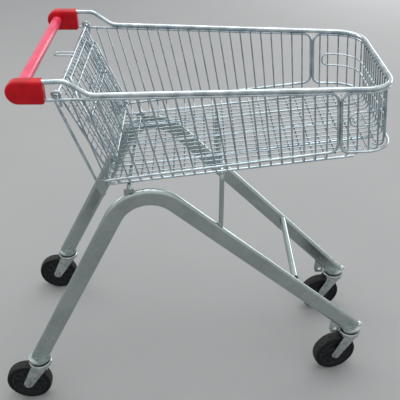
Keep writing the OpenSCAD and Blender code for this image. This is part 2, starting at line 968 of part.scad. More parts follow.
module handle_cap(side) {
    color(red)
        difference() {
            translate([handle_x, side * cap_y, handle_z]) {
                rotate([0, 90, 0])
                    linear_extrude(cap_front - handle_x)
                        cap_section();
                rotate([90, 0, 0])
                    rotate([0, 0, 90])
                        rotate_extrude(angle = 180, $fn = 64)
                            intersection() {
                                cap_section();
                                translate([0, -cap_r])
                                    square([2 * cap_r, 2 * cap_r]);
                            }
            }
            inner = side * (cap_y - cap_half_t);
            translate([handle_x, inner + side * 2.5, handle_z])
                rotate([90, 0, 0])
                    cylinder(d = sleeve_d + 0.02, h = 7.02, center = true);
            translate([handle_x, inner + side * 9, handle_z])
                rotate([90, 0, 0])
                    cylinder(d = core_d + 0.02, h = 18.1, center = true);
            rod([95, side * top_half(95), 963], [130, side * top_half(130), 963],
                rim_d + 0.02);
            rod([95, side * top_half(95), low_height(95)],
                [130, side * top_half(130), low_height(130)], frame_d + 0.02);
        }
}

// A small wire loop behind the gate's top rod, for hanging a bag
module bag_hook() {
    half = 9.5;
    z = pivot_z + pivot_d / 2 + 1.7;
    color(bright_zinc)
        bent_rod([
            [pivot_x + 3, -half, z], [101, -half, z], [101, half, z], [pivot_x + 3, half, z]
        ], [0, 6, 6, 0], 4);
}

// ---------- assembly ----------

module placed() {
    translate([-x_mid, 0, 0])
        children();
}

placed() side_tube(LEFT);  // side_tube_left
placed() side_tube(RIGHT);  // side_tube_right
placed() cross_tube();
placed() front_stay();
placed() rear_stay();
placed() caster_lugs();
placed() head_plates();
placed() upper_races();
placed() kingpins();
placed() race_balls();
placed() rim_rod();
placed() side_frame(LEFT);  // side_frame_left
placed() side_frame(RIGHT);  // side_frame_right
placed() front_frame();
placed() gate_hook_rods();
placed() side_wires(LEFT);  // side_wires_left
placed() side_wires(RIGHT);  // side_wires_right
placed() front_wires();
placed() front_hoop();
placed() floor_cross_wires();
placed() floor_long_wires();
placed() floor_rods();
placed() gate_stop_rod();
placed() corner_tabs();
placed() handle_core();
placed() handle_sleeve();
placed() handle_cap(LEFT);  // handle_cap_left
placed() handle_cap(RIGHT);  // handle_cap_right
placed() bag_hook();
placed() gate_frame();
placed() gate_wires();
placed() seat_lugs();
placed() flap_pin();
placed() seat_back_frame();
placed() seat_back_wires();
placed() seat_flap();
placed() at_fork("rear", LEFT) fork();  // fork_rear_left
placed() at_fork("rear", RIGHT) fork();  // fork_rear_right
placed() at_fork("front", LEFT) fork();  // fork_front_left
placed() at_fork("front", RIGHT) fork();  // fork_front_right
placed() at_fork("rear", LEFT) axle_bolt();  // axle_bolt_rear_left
placed() at_fork("rear", RIGHT) axle_bolt();  // axle_bolt_rear_right
placed() at_fork("front", LEFT) axle_bolt();  // axle_bolt_front_left
placed() at_fork("front", RIGHT) axle_bolt();  // axle_bolt_front_right
placed() at_fork("rear", LEFT) hub();  // hub_rear_left
placed() at_fork("rear", RIGHT) hub();  // hub_rear_right
placed() at_fork("front", LEFT) hub();  // hub_front_left
placed() at_fork("front", RIGHT) hub();  // hub_front_right
placed() at_fork("rear", LEFT) bush();  // bush_rear_left
placed() at_fork("rear", RIGHT) bush();  // bush_rear_right
placed() at_fork("front", LEFT) bush();  // bush_front_left
placed() at_fork("front", RIGHT) bush();  // bush_front_right
placed() at_fork("rear", LEFT) tyre();  // tyre_rear_left
placed() at_fork("rear", RIGHT) tyre();  // tyre_rear_right
placed() at_fork("front", LEFT) tyre();  // tyre_front_left
placed() at_fork("front", RIGHT) tyre();  // tyre_front_right
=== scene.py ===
# %% [markdown]
# # A shopping cart in bright zinc
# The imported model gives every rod, wire, tube and caster at its real size and place. This lesson
# dresses that frame: it adds the parts that a mesh shows better than a solid, such as moulded tyres,
# soft-edged caps and weld beads, and gives every surface its own finish. All lengths are in metres.

import json
import math

import bmesh
import bpy
from mathutils import Matrix, Vector


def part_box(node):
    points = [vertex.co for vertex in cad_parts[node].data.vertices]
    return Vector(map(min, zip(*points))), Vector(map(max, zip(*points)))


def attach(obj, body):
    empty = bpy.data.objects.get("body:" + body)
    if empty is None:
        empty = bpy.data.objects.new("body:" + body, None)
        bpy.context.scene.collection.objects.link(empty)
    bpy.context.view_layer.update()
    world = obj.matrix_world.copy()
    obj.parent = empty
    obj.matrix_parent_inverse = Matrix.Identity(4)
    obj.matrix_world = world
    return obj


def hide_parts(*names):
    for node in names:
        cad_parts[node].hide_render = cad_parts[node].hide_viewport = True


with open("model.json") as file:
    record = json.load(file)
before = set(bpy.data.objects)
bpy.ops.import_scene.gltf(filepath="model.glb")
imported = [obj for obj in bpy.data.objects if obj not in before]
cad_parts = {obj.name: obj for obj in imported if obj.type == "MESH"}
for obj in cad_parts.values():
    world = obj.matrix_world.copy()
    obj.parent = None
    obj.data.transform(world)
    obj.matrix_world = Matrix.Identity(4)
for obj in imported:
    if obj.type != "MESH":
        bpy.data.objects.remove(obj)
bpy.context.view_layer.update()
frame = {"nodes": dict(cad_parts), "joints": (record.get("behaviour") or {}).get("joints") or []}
nodes = frame["nodes"]
scene = bpy.context.scene

# %% [markdown]
# The cart is seen from its right side, from a little above the rim, as someone standing beside it
# would see it. A camera's place, its two angles and its lens are all that such a view needs.

# %% Place the camera
EYE = (0.0220, -1.4204, 1.4741)
LOOK_DOWN = math.radians(34.09)
LOOK_FORWARD = math.radians(0.70)
LENS_MM = 55.9

eye_data = bpy.data.cameras.new("beside_the_cart")
eye_data.lens = LENS_MM
eye_data.sensor_width = 36
eye = bpy.data.objects.new("beside_the_cart", eye_data)
eye.location = EYE
eye.rotation_euler = (math.pi / 2 - LOOK_DOWN, 0, -LOOK_FORWARD)
scene.collection.objects.link(eye)
scene.camera = eye
scene.view_settings.view_transform = "Standard"
print("camera at", EYE, "with a", LENS_MM, "mm lens")

# %% [markdown]
# A finish is a small program made of nodes. Wiring it node by node is hard to read, so one class
# wraps a socket and overloads Python's arithmetic: an expression on values adds its Math nodes.
# Colours go through Mix nodes instead, because a Math node would turn them grey.

# %% Arithmetic on sockets
class Value:
    def __init__(self, owner, socket):
        self.owner = owner
        self.socket = socket

    def math(self, operation, first, second):
        return self.owner.add("ShaderNodeMath", {"operation": operation}, {0: first, 1: second})

    def __add__(self, other):
        return self.math("ADD", self, other)

    def __radd__(self, other):
        return self.math("ADD", other, self)

    def __sub__(self, other):
        return self.math("SUBTRACT", self, other)

    def __rsub__(self, other):
        return self.math("SUBTRACT", other, self)

    def __mul__(self, other):
        return self.math("MULTIPLY", self, other)

    def __rmul__(self, other):
        return self.math("MULTIPLY", other, self)

    def step(self, low, high):
        """0 below low, 1 above high, and smooth in between."""
        return self.owner.add(
            "ShaderNodeMapRange", {"interpolation_type": "SMOOTHSTEP"},
            {"Value": self, "From Min": low, "From Max": high})


print("a value can be added, subtracted, multiplied and stepped")

# %% [markdown]
# Materials and the sky are both trees of nodes. One method makes any node in either: its settings
# first, then the values or links of its sockets. It gives back the socket that the rest will use.

# %% One class for a tree of nodes
class Nodes:
    def __init__(self, tree):
        self.tree = tree
        tree.nodes.clear()

    def add(self, kind, settings=None, sockets=None, output=0):
        node = self.tree.nodes.new(kind)
        for key, value in (settings or {}).items():
            if key == "stops":
                elements = node.color_ramp.elements
                while len(elements) < len(value):
                    elements.new(0.5)
                for element, (place, colour) in zip(elements, value):
                    element.position = place
                    element.color = (*colour, 1)
            else:
                setattr(node, key, value)
        for key, value in (sockets or {}).items():
            if isinstance(value, Value):
                self.tree.links.new(value.socket, node.inputs[key])
            else:
                node.inputs[key].default_value = value
        return Value(self, node.outputs[output]) if node.outputs else None


print("one method adds any node")

# %% [markdown]
# A finish is such a tree for one material. The patterns that several finishes share, such as noise
# and crystals, are its methods. They all read Object coordinates, so a pattern stays on its piece
# when a joint moves.

# %% One class for a finish
class Finish(Nodes):
    def __init__(self, name):
        self.material = bpy.data.materials.new(name)
        self.material.use_nodes = True
        super().__init__(self.material.node_tree)
        self.here = self.add("ShaderNodeTexCoord", output="Object")

    def placed(self, centre=(0, 0, 0), turn=(0, 0, 0), stretch=(1, 1, 1)):
        """Object coordinates, first moved so that centre is the origin, then turned and stretched."""
        moved = self.add("ShaderNodeVectorMath", {"operation": "SUBTRACT"},
                         {0: self.here, 1: centre})
        return self.add("ShaderNodeMapping", {},
                        {"Vector": moved, "Rotation": turn, "Scale": stretch})

    def noise(self, size, detail=3, roughness=0.5, at=None, distortion=0.0):
        """A cloudy value from 0 to 1 whose lumps are about size metres."""
        return self.add("ShaderNodeTexNoise", {},
                        {"Vector": at or self.here, "Scale": 1 / size, "Detail": detail,
                         "Roughness": roughness, "Distortion": distortion})

    def cells(self, size, at=None):
        """A random grey for each crystal of about size metres."""
        cell = self.add("ShaderNodeTexVoronoi", {}, {"Vector": at or self.here, "Scale": 1 / size},
                        output="Color")
        return self.add("ShaderNodeSeparateColor", {}, {0: cell}, output=0)

    def axis(self, name, at=None):
        """One coordinate: X, Y or Z."""
        return self.add("ShaderNodeSeparateXYZ", {}, {0: at or self.here}, output=name)

    def mix(self, factor, first, second, blend="MIX"):
        return self.add(
            "ShaderNodeMix", {"data_type": "RGBA", "blend_type": blend},
            {0: factor, 6: self.colour(first), 7: self.colour(second)}, output=2)

    def colour(self, value):
        return value if isinstance(value, Value) else (*value, 1)

    def bump(self, height, depth, under=None):
        """A relief of depth metres; under is a bump that this one lies on."""
        sockets = {"Height": height, "Distance": depth, "Strength": 1.0}
        if under:
            sockets["Normal"] = under
        return self.add("ShaderNodeBump", {}, sockets)

    def surface(self, **sockets):
        names = {key.replace("_", " ").title().replace("Ior", "IOR"): value
                 for key, value in sockets.items()}
        shader = self.add("ShaderNodeBsdfPrincipled", {}, names)
        self.add("ShaderNodeOutputMaterial", {}, {"Surface": shader})
        return self.material


print("a finish has clouds, crystals, relief and a surface")

# %% [markdown]
# ## The zinc
# Wire, tube and pressed sheet are all plated with zinc, but don't look the same. Wire is drawn
# before it is plated, so it is smooth and bright. Tube shows faint clouds and long rub marks. Sheet
# is stamped, so it is duller and carries dust near the floor. One function makes the three, and a
# few numbers tell them apart: the base colour, the gloss, and how strong each kind of mark is.

# %% Make the zinc finishes
def zinc(name, pale, deep, gloss, cloud, crystal, rub, dust, along=(1, 1, 1)):
    f = Finish(name)
    clouds = f.noise(cloud, detail=4, roughness=0.6)
    crystals = f.cells(crystal)
    marks = f.noise(0.0035, detail=2, at=f.placed(stretch=along)).step(0.60, 0.72)
    patches = f.noise(0.05, detail=3)
    worn = marks * patches.step(0.42, 0.62) * rub
    low = 1 - f.axis("Z").step(0.03, 0.30)
    film = (low * 0.8 + 0.2) * f.noise(0.02, detail=5, roughness=0.65).step(0.42, 0.70) * dust

    base = f.mix(clouds.step(0.30, 0.70), deep, pale)
    base = f.mix(crystals * 0.06, base, (0.93, 0.96, 0.97))
    base = f.mix(worn, base, (0.42, 0.44, 0.43))
    base = f.mix(film, base, (0.34, 0.33, 0.30))
    roughness = gloss + crystals * 0.03 + clouds * 0.06 + worn * 0.14 + film * 0.30
    pits = f.noise(0.0012, detail=2)
    relief = f.bump(pits, 0.000006)
    relief = f.bump(clouds + marks * 0.3, 0.00004, under=relief)
    return f.surface(base_color=base, metallic=1 - film * 0.7, roughness=roughness, normal=relief)


WIRE = dict(cloud=0.03, crystal=0.002, rub=0.35, dust=0.35)
rod_zinc = zinc("drawn_rod_zinc", (0.64, 0.71, 0.74), (0.36, 0.43, 0.46), 0.13,
                along=(0.25, 0.25, 1.0), **WIRE)
wire_zinc = zinc("fine_wire_zinc", (0.50, 0.58, 0.62), (0.28, 0.35, 0.38), 0.16,
                 along=(1.0, 1.0, 0.2), **WIRE)
tube_zinc = zinc("tube_zinc", (0.41, 0.47, 0.46), (0.34, 0.395, 0.385), 0.19, cloud=0.11,
                 crystal=0.009, rub=0.22, dust=0.3, along=(0.3, 1.0, 0.3))
sheet_zinc = zinc("pressed_sheet_zinc", (0.52, 0.58, 0.57), (0.30, 0.35, 0.345), 0.17, cloud=0.02,
                  crystal=0.005, rub=0.4, dust=0.6, along=(0.4, 0.4, 1.0))
bolt_zinc = zinc("bolt_zinc", (0.50, 0.52, 0.50), (0.26, 0.28, 0.27), 0.22, cloud=0.008,
                 crystal=0.0015, rub=0.6, dust=0.7)
print("zinc finishes: rod, wire, tube, sheet, bolt")

# %% [markdown]
# A weld is duller than the rod around it: the heat burns the zinc off, and the maker sprays it
# over. So weld beads get a rough, matt, slightly darker version with a strong ripple.

# %% Make the weld finish
def weld_finish():
    f = Finish("sprayed_weld")
    ripple = f.noise(0.0022, detail=3, roughness=0.7)
    base = f.mix(ripple.step(0.3, 0.7), (0.30, 0.32, 0.31), (0.58, 0.61, 0.60))
    return f.surface(base_color=base, metallic=0.85, roughness=0.38 + ripple * 0.2,
                     normal=f.bump(ripple, 0.0006))


weld = weld_finish()
print("weld finish:", weld.name)

# %% [markdown]
# ## The red plastics
# The caps are moulded: deep red and glossy, with a very fine orange peel and a few scuffs on their
# corners. The sleeve between them is extruded and handled all day. It is a lighter, pinkish red,
# chalky from daylight, and polished in its middle, where the hands go.

# %% Make the red finishes
def cap_finish():
    f = Finish("moulded_red")
    peel = f.noise(0.0014, detail=2)
    shade = f.noise(0.03, detail=3)
    scuff = f.noise(0.003, detail=3, at=f.placed(stretch=(1, 1, 3))).step(0.66, 0.74)
    scuff = scuff * f.noise(0.02).step(0.5, 0.65)
    base = f.mix(shade.step(0.3, 0.7), (0.42, 0.000, 0.005), (0.58, 0.001, 0.010))
    base = f.mix(scuff * 0.4, base, (0.70, 0.22, 0.22))
    return f.surface(base_color=base, roughness=0.27 + scuff * 0.3 + shade * 0.06,
                     specular_ior_level=0.22, coat_weight=0.14 - scuff * 0.1, coat_roughness=0.10,
                     normal=f.bump(peel, 0.00004))


def sleeve_finish():
    f = Finish("extruded_pink_red")
    lines = f.noise(0.0011, detail=1, at=f.placed(stretch=(1, 0.02, 1)))
    shade = f.noise(0.05, detail=4)
    handled = 1 - f.add("ShaderNodeMath", {"operation": "ABSOLUTE"},
                        {0: f.axis("Y")}).step(0.05, 0.19)
    chalk = f.noise(0.012, detail=5, roughness=0.7).step(0.45, 0.75) * (1 - handled * 0.7)
    base = f.mix(shade.step(0.3, 0.7), (0.62, 0.022, 0.078), (0.74, 0.052, 0.130))
    base = f.mix(chalk * 0.25, base, (0.86, 0.26, 0.31))
    return f.surface(base_color=base, roughness=0.40 - handled * 0.10 + chalk * 0.2,
                     coat_weight=0.12 + handled * 0.12, coat_roughness=0.2,
                     normal=f.bump(lines + chalk * 0.2, 0.00006))


cap_red = cap_finish()
sleeve_red = sleeve_finish()
print("red finishes: caps and sleeve")

# %% [markdown]
# ## The wheels' finishes
# A tyre rolls through dust, so its tread is grey and rough while its wall stays black. The finish
# measures each point's distance from the axle, and so needs to know where its own axle is.

# %% Find the axles and make the wheel finishes
CORNERS = ["rear_left", "rear_right", "front_left", "front_right"]
WHEEL_R = 0.0625
joints = {j["name"]: j for j in frame["joints"]}
axle_at = {c: Vector(joints["spin_" + c]["pos_m"]) for c in CORNERS}
axle_along = {c: Vector(joints["spin_" + c]["axis"]).normalized() for c in CORNERS}
swivel_at = {c: Vector(joints["swivel_" + c]["pos_m"]) for c in CORNERS}


def from_axle(f, corner):
    """The distance of each point from the wheel's axle."""
    off = f.add("ShaderNodeVectorMath", {"operation": "SUBTRACT"},
                {0: f.here, 1: axle_at[corner]})
    across = f.add("ShaderNodeVectorMath", {"operation": "CROSS_PRODUCT"},
                   {0: off, 1: axle_along[corner]})
    return f.add("ShaderNodeVectorMath", {"operation": "LENGTH"}, {0: across}, output="Value")


def tyre_finish(corner):
    f = Finish("tyre_rubber_" + corner)
    radius = from_axle(f, corner)
    tread = radius.step(WHEEL_R - 0.0040, WHEEL_R - 0.0010)
    grime = f.noise(0.006, detail=5, roughness=0.7)
    grain = f.noise(0.0009, detail=2)
    dusty = tread * 0.32 * grime.step(0.25, 0.7) + grime.step(0.58, 0.75) * 0.12
    base = f.mix(dusty, (0.007, 0.007, 0.008), (0.12, 0.117, 0.112))
    return f.surface(base_color=base, roughness=0.46 + grime * 0.2 + tread * 0.16,
                     specular_ior_level=0.18,
                     normal=f.bump(grain + grime * 0.6, 0.00015))


def hub_finish(corner):
    f = Finish("hub_nylon_" + corner)
    grime = f.noise(0.008, detail=4, roughness=0.65)
    grain = f.noise(0.0008, detail=2)
    base = f.mix(grime.step(0.45, 0.8) * 0.4, (0.009, 0.010, 0.012), (0.09, 0.087, 0.083))
    return f.surface(base_color=base, roughness=0.38 + grime * 0.25,
                     specular_ior_level=0.22,
                     normal=f.bump(grain, 0.00006))


def bush_finish():
    f = Finish("oiled_brass")
    stain = f.noise(0.003, detail=3)
    base = f.mix(stain, (0.50, 0.36, 0.14), (0.72, 0.56, 0.28))
    return f.surface(base_color=base, metallic=1.0, roughness=0.28 + stain * 0.2,
                     normal=f.bump(stain, 0.00004))


tyre_rubber = {c: tyre_finish(c) for c in CORNERS}
hub_nylon = {c: hub_finish(c) for c in CORNERS}
brass = bush_finish()
print("wheel finishes for", ", ".join(CORNERS))

# %% [markdown]
# ## Dress the CAD nodes
# Most nodes keep their shape, so all they need is a finish in their material slots. A table from
# the start of a node's name to its finish does it, and a node that no line matches stops the script.

# %% Give every CAD node a finish
TUBES = ["side_tube", "cross_tube", "front_stay", "rear_stay", "handle_core", "corner_tabs"]
RODS = ["rim_rod", "side_frame", "front_frame", "gate_hook_rods", "front_hoop", "floor_rods",
        "gate_stop_rod", "bag_hook", "gate_frame", "flap_pin", "seat_back_frame"]
WIRES = ["side_wires", "front_wires", "floor_cross", "floor_long", "gate_wires", "seat_back_wires",
         "seat_flap"]
SHEETS = ["fork", "head_plates", "upper_races", "caster_lugs", "seat_lugs"]
BOLTS = ["kingpins", "race_balls", "axle_bolt"]


def finish_for(name):
    corner = "_".join(name.split("_")[-2:])
    if name.startswith("tyre"):
        return tyre_rubber[corner]
    if name.startswith("hub"):
        return hub_nylon[corner]
    if name.startswith("bush"):
        return brass
    if name.startswith("handle_cap"):
        return cap_red
    if name == "handle_sleeve":
        return sleeve_red
    for starts, finish in ((TUBES, tube_zinc), (RODS, rod_zinc), (WIRES, wire_zinc),
                           (SHEETS, sheet_zinc), (BOLTS, bolt_zinc)):
        if name.startswith(tuple(starts)):
            return finish
    raise ValueError("no finish for " + name)


for name, node in nodes.items():
    node.data.materials.clear()
    node.data.materials.append(finish_for(name))
print("finishes given to", len(nodes), "nodes")

# %% [markdown]
# ## Helpers for new pieces
# A new piece is made in a bmesh, gets its mesh and finish, and rides on the body that it belongs
# to. Its object stays at the origin, with its place in its mesh, as a CAD node's does.

# %% Turn a bmesh into a piece
def piece(name, bm, body, finish, smooth=True):
    bmesh.ops.remove_doubles(bm, verts=bm.verts, dist=0.000005)
    bmesh.ops.recalc_face_normals(bm, faces=bm.faces)
    mesh = bpy.data.meshes.new(name)
    bm.to_mesh(mesh)
    bm.free()
    for polygon in mesh.polygons:
        polygon.use_smooth = smooth
    mesh.materials.append(finish)
    made = bpy.data.objects.new(name, mesh)
    scene.collection.objects.link(made)
    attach(made, body)
    return made


def frame_of(place, along):
    """A matrix that carries +Z to the direction along, and the origin to place."""
    turn = Vector((0, 0, 1)).rotation_difference(Vector(along)).to_matrix().to_4x4()
    return Matrix.Translation(Vector(place)) @ turn


def spun(bm, profile, matrix, steps):
    """Spins a closed outline of (radius, height) points round +Z, then carries it by the matrix."""
    verts = [bm.verts.new((r, 0, z)) for r, z in profile]
    edges = [bm.edges.new(pair) for pair in zip(verts, verts[1:] + verts[:1])]
    before = set(bm.verts) - set(verts)
    bmesh.ops.spin(bm, geom=verts + edges, cent=(0, 0, 0), axis=(0, 0, 1), dvec=(0, 0, 0),
                   angle=math.tau, steps=steps, use_merge=True, use_duplicate=False)
    new = [v for v in bm.verts if v not in before]
    bmesh.ops.transform(bm, matrix=matrix, verts=new)


print("helpers: piece, frame_of and spun")

# %% [markdown]
# ## Tyres
# The real tyre is a moulded ring: a slightly crowned tread, rounded shoulders, a raised rib on each
# wall and a fine seam where the mould's halves met. All of that is one outline, spun round the
# axle, so it replaces the CAD ring, which stays behind it for collision.

# %% Mould the tyres
HUB_R = 0.049
TYRE_HALF = 0.016


def rounded(centre, radius, start, stop, count=5):
    """Points on an arc, with angles in degrees."""
    angles = [math.radians(start + (stop - start) * i / count) for i in range(count + 1)]
    return [(centre[0] + radius * math.cos(a), centre[1] + radius * math.sin(a)) for a in angles]


def tyre_outline():
    shoulder = 0.0052
    half = [(HUB_R, 0.0), (HUB_R, 0.0125), (0.0498, 0.0139), (0.0512, 0.0147), (0.0522, 0.0156),
            (0.0534, 0.0158), (0.0543, 0.0151), (0.0552, 0.0150)]
    half += rounded((WHEEL_R - 0.0011 - shoulder, TYRE_HALF - shoulder - 0.0004), shoulder, 78, 8)
    half += [(WHEEL_R - 0.0005, 0.0065), (WHEEL_R - 0.0001, 0.0025), (WHEEL_R - 0.0001, 0.0005),
             (WHEEL_R, 0.0)]
    return half + [(r, -z) for r, z in reversed(half[1:-1])]


for corner in CORNERS:
    bm = bmesh.new()
    spun(bm, tyre_outline(), frame_of(axle_at[corner], axle_along[corner]), steps=96)
    tyre = piece("moulded_tyre_" + corner, bm, "wheel_" + corner, tyre_rubber[corner])
    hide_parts("tyre_" + corner)
print("tyre outline points:", len(tyre_outline()))

# %% [markdown]
# ## Wheel discs
# Both faces of the hub have a shallow dished disc with ribs, which stiffens the nylon and keeps
# thread and dirt from the bush. The disc is spun, and the ribs are thin boxes set round it.

# %% Add the ribbed discs
RIBS = 10
RIB_SIZE = (0.0235, 0.0016, 0.0030)
RIB_PLACE = (0.0315, 0, 0.0012)
DISC_LIFT = 0.0099


def disc_outline():
    return [(0.0158, 0.0), (0.0166, 0.0042), (0.0180, 0.0052), (0.0196, 0.0046), (0.0215, 0.0014),
            (0.0250, 0.0006), (0.0400, 0.0006), (0.0415, 0.0012), (0.0430, 0.0030),
            (0.0452, 0.0032), (0.0462, 0.0024), (0.0464, 0.0)]


for corner in CORNERS:
    bm = bmesh.new()
    for face in (1, -1):
        out = axle_along[corner] * face
        matrix = frame_of(axle_at[corner] + out * DISC_LIFT, out)
        spun(bm, disc_outline(), matrix, steps=48)
        for i in range(RIBS):
            made = bmesh.ops.create_cube(bm, size=1)["verts"]
            turn = Matrix.Rotation(math.tau * i / RIBS, 4, "Z")
            bmesh.ops.transform(bm, verts=made, matrix=matrix @ turn @ Matrix.Translation(RIB_PLACE)
                                @ Matrix.Diagonal((*RIB_SIZE, 1)))
    piece("hub_disc_" + corner, bm, "wheel_" + corner, hub_nylon[corner], smooth=False)
print("discs with", RIBS, "ribs on each face")

# %% [markdown]
# ## Caster gap shade
# Between the two ball races sits a near-black ring of painted shade, standing for the dark gap
# between them. It is what makes the two bright discs of a swivel read as separate, so it is worth its
# own small piece.

# %% Add the rings of painted gap shade
def shade_ring_finish():
    f = Finish("painted_gap_shade")
    shade_speckle = f.noise(0.0015, detail=5, roughness=0.75)
    # Painted shade: these near-black colours stand for the shade in the gap between a swivel's two
    # races.
    base = f.mix(shade_speckle, (0.010, 0.010, 0.009), (0.055, 0.050, 0.042))
    return f.surface(base_color=base, roughness=0.55 + shade_speckle * 0.3,
                     normal=f.bump(shade_speckle, 0.0004))


SHADE_RING_OUTLINE = [(0.0105, 0.1350), (0.0242, 0.1350), (0.0248, 0.1362), (0.0248, 0.1420),
                (0.0236, 0.1432), (0.0105, 0.1432)]
gap_shade = shade_ring_finish()
# Each ring is painted shade, set in the gap between a swivel's two bright races.
for corner in CORNERS:
    at = swivel_at[corner]
    bm = bmesh.new()
    spun(bm, SHADE_RING_OUTLINE, Matrix.Translation((at.x, at.y, 0)), steps=48)
    piece("felt_ring_" + corner, bm, "fork_" + corner, gap_shade)
print("felt rings from", SHADE_RING_OUTLINE[0][1], "to", SHADE_RING_OUTLINE[-1][1], "m above the floor")

# %% [markdown]
# ## Weld beads
# The tubes meet in ring welds: round the cross tube, under each stay and over each head plate. A
# bead is a small circle spun into a ring, then squashed and leaned to lie in the joint. Its ripple
# is in the finish, and a slow wave in its width comes from moving its points a little.

# %% A bead of weld
RING_STEPS = 40
BEAD_SIDES = 8
SLOW_WAVE = (0.16, 9)
QUICK_WAVE = (0.10, 23)


def bead(bm, radius, thick, matrix):
    made = bmesh.ops.create_circle(bm, segments=BEAD_SIDES, radius=thick / 2)["verts"]
    stand = Matrix.Translation((radius, 0, 0)) @ Matrix.Rotation(math.pi / 2, 4, "X")
    bmesh.ops.transform(bm, matrix=stand, verts=made)
    edges = list(dict.fromkeys(e for v in made for e in v.link_edges))
    old = set(bm.verts) - set(made)
    bmesh.ops.spin(bm, geom=made + edges, cent=(0, 0, 0), axis=(0, 0, 1), dvec=(0, 0, 0),
                   angle=math.tau, steps=RING_STEPS, use_merge=True, use_duplicate=False)
    ring = [v for v in bm.verts if v not in old]
    for v in ring:
        around = math.atan2(v.co.y, v.co.x)
        out = Vector((v.co.x, v.co.y, 0)).normalized() * radius
        wave = sum(much * math.sin(times * around) for much, times in (SLOW_WAVE, QUICK_WAVE))
        v.co = out + (v.co - out) * (1 + wave)
    bmesh.ops.transform(bm, matrix=matrix, verts=ring)


print("a bead has", RING_STEPS * BEAD_SIDES, "faces")

# %% [markdown]
# The legs lean and toe in, and their flat oval section is cut level at the plates. So the bead
# there is stretched: a leaning tube's cut is longer than the tube is deep.

# %% Lay the ring welds
FRONT_LEG = math.radians(43.2)
REAR_LEG = math.radians(62.3)
TOE_IN = math.radians(6.92)
TUBE_THICK = 0.020
TUBE_DEPTH = 0.045
FOOT_Z = 0.157
WELDED_INSIDE = 0.001
STAY_ENDS = (0.006, 0.0095)
STAY_OVAL = 1.37
CROSS_BEAD = (0.0093, 0.0030)
STAY_BEAD = (0.0063, 0.0028)
LEG_BEAD = (0.0106, 0.0024)
ABOVE_PLATE = 0.0004
WITHIN_TUBE = 0.97
AHEAD = {"rear": 0.0023, "front": 0.0010}


def toed(corner):
    """The leg's own turn about the vertical."""
    return Matrix.Rotation(-TOE_IN if corner.endswith("left") else TOE_IN, 4, "Z")


bm = bmesh.new()
low, high = (Vector(v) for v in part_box("cross_tube"))
middle = (low + high) / 2
for y in (low.y + WELDED_INSIDE, high.y - WELDED_INSIDE):
    bead(bm, *CROSS_BEAD, frame_of((middle.x, y, middle.z), (0, 1, 0)))
low, high = (Vector(v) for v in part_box("front_stay"))
inwards, upwards = STAY_ENDS
for y in (low.y + inwards, high.y - inwards):
    bead(bm, *STAY_BEAD, Matrix.Translation(((low.x + high.x) / 2, y, low.z + upwards))
         @ Matrix.Rotation(FRONT_LEG, 4, "Y") @ Matrix.Diagonal((STAY_OVAL, 1, 1, 1)))
for corner in CORNERS:
    at = swivel_at[corner]
    end = corner.split("_")[0]
    lean = REAR_LEG if end == "rear" else FRONT_LEG
    wide = WITHIN_TUBE * TUBE_DEPTH / math.sin(lean) / TUBE_THICK
    bead(bm, *LEG_BEAD, Matrix.Translation((at.x + AHEAD[end], at.y, FOOT_Z + ABOVE_PLATE))
         @ toed(corner) @ Matrix.Diagonal((wide, 1, 1, 1)))
piece("tube_welds", bm, "frame", weld)
print("ring welds:", 2 + 2 + len(CORNERS))

# %% [markdown]
# The front legs end in a sharp edge where the slanted tube meets its plate. The maker closes that
# edge with a rounded run of weld, ground smooth and zinc-plated with the tube.

# %% Close the front ends of the tubes
NOSE = (0.0130, 0.0099, 0.0075)
NOSE_AHEAD = 0.02155
NOSE_LIFT = 0.0008
bm = bmesh.new()
for corner in ("front_left", "front_right"):
    at = swivel_at[corner]
    made = bmesh.ops.create_uvsphere(bm, u_segments=24, v_segments=16, radius=1.0)["verts"]
    bmesh.ops.transform(bm, verts=made, matrix=Matrix.Translation((at.x, at.y, FOOT_Z))
                        @ toed(corner) @ Matrix.Translation((NOSE_AHEAD, 0, NOSE_LIFT))
                        @ Matrix.Diagonal((*NOSE, 1)))
piece("tube_noses", bm, "frame", rod_zinc)
print("noses reach", round(NOSE_AHEAD + NOSE[0], 4), "m ahead of the kingpins")

# %% [markdown]
# The wires are spot welded to the frame rods: each crossing is pressed into a small flat nugget.
# The wires' places are measured from the CAD mesh, one island of connected faces for each wire, so
# the nuggets stay right if the wires' spacing changes.

# %% Find the wires
END_POINTS = 16


def islands(name):
    """The lowest and highest points of each separate solid in a node."""
    bm = bmesh.new()
    bm.from_mesh(nodes[name].data)
    bmesh.ops.remove_doubles(bm, verts=bm.verts, dist=0.00001)
    seen, found = set(), []
    for first in bm.verts:
        if first in seen:
            continue
        seen.add(first)
        todo, island = [first], []
        while todo:
            v = todo.pop()
            island.append(v.co.copy())
            for e in v.link_edges:
                other = e.other_vert(v)
                if other not in seen:
                    seen.add(other)
                    todo.append(other)
        island.sort(key=lambda co: (co.z, co.x, co.y))
        ends = (island[:END_POINTS], island[-END_POINTS:])
        found.append(tuple(sum(end, Vector()) / END_POINTS for end in ends))
    bm.free()
    return found


wires = {side: islands("side_wires_" + side) for side in ("left", "right")}
print("solids in the side wires:", {side: len(found) for side, found in wires.items()})

# %% [markdown]
# Only the upright wires cross the rim at the top and the frame rod at the bottom, so the short
# solids, such as the wires' bends, are passed over. A nugget has few faces, because there are many.

# %% Press the nuggets
NUGGET = 0.0024
NUGGET_SQUASH = (1.0, 0.8, 1.1)
NUGGET_OUT = 0.0022
UPRIGHT = 0.10
BELOW_TOP = 0.002
ABOVE_FOOT = 0.011

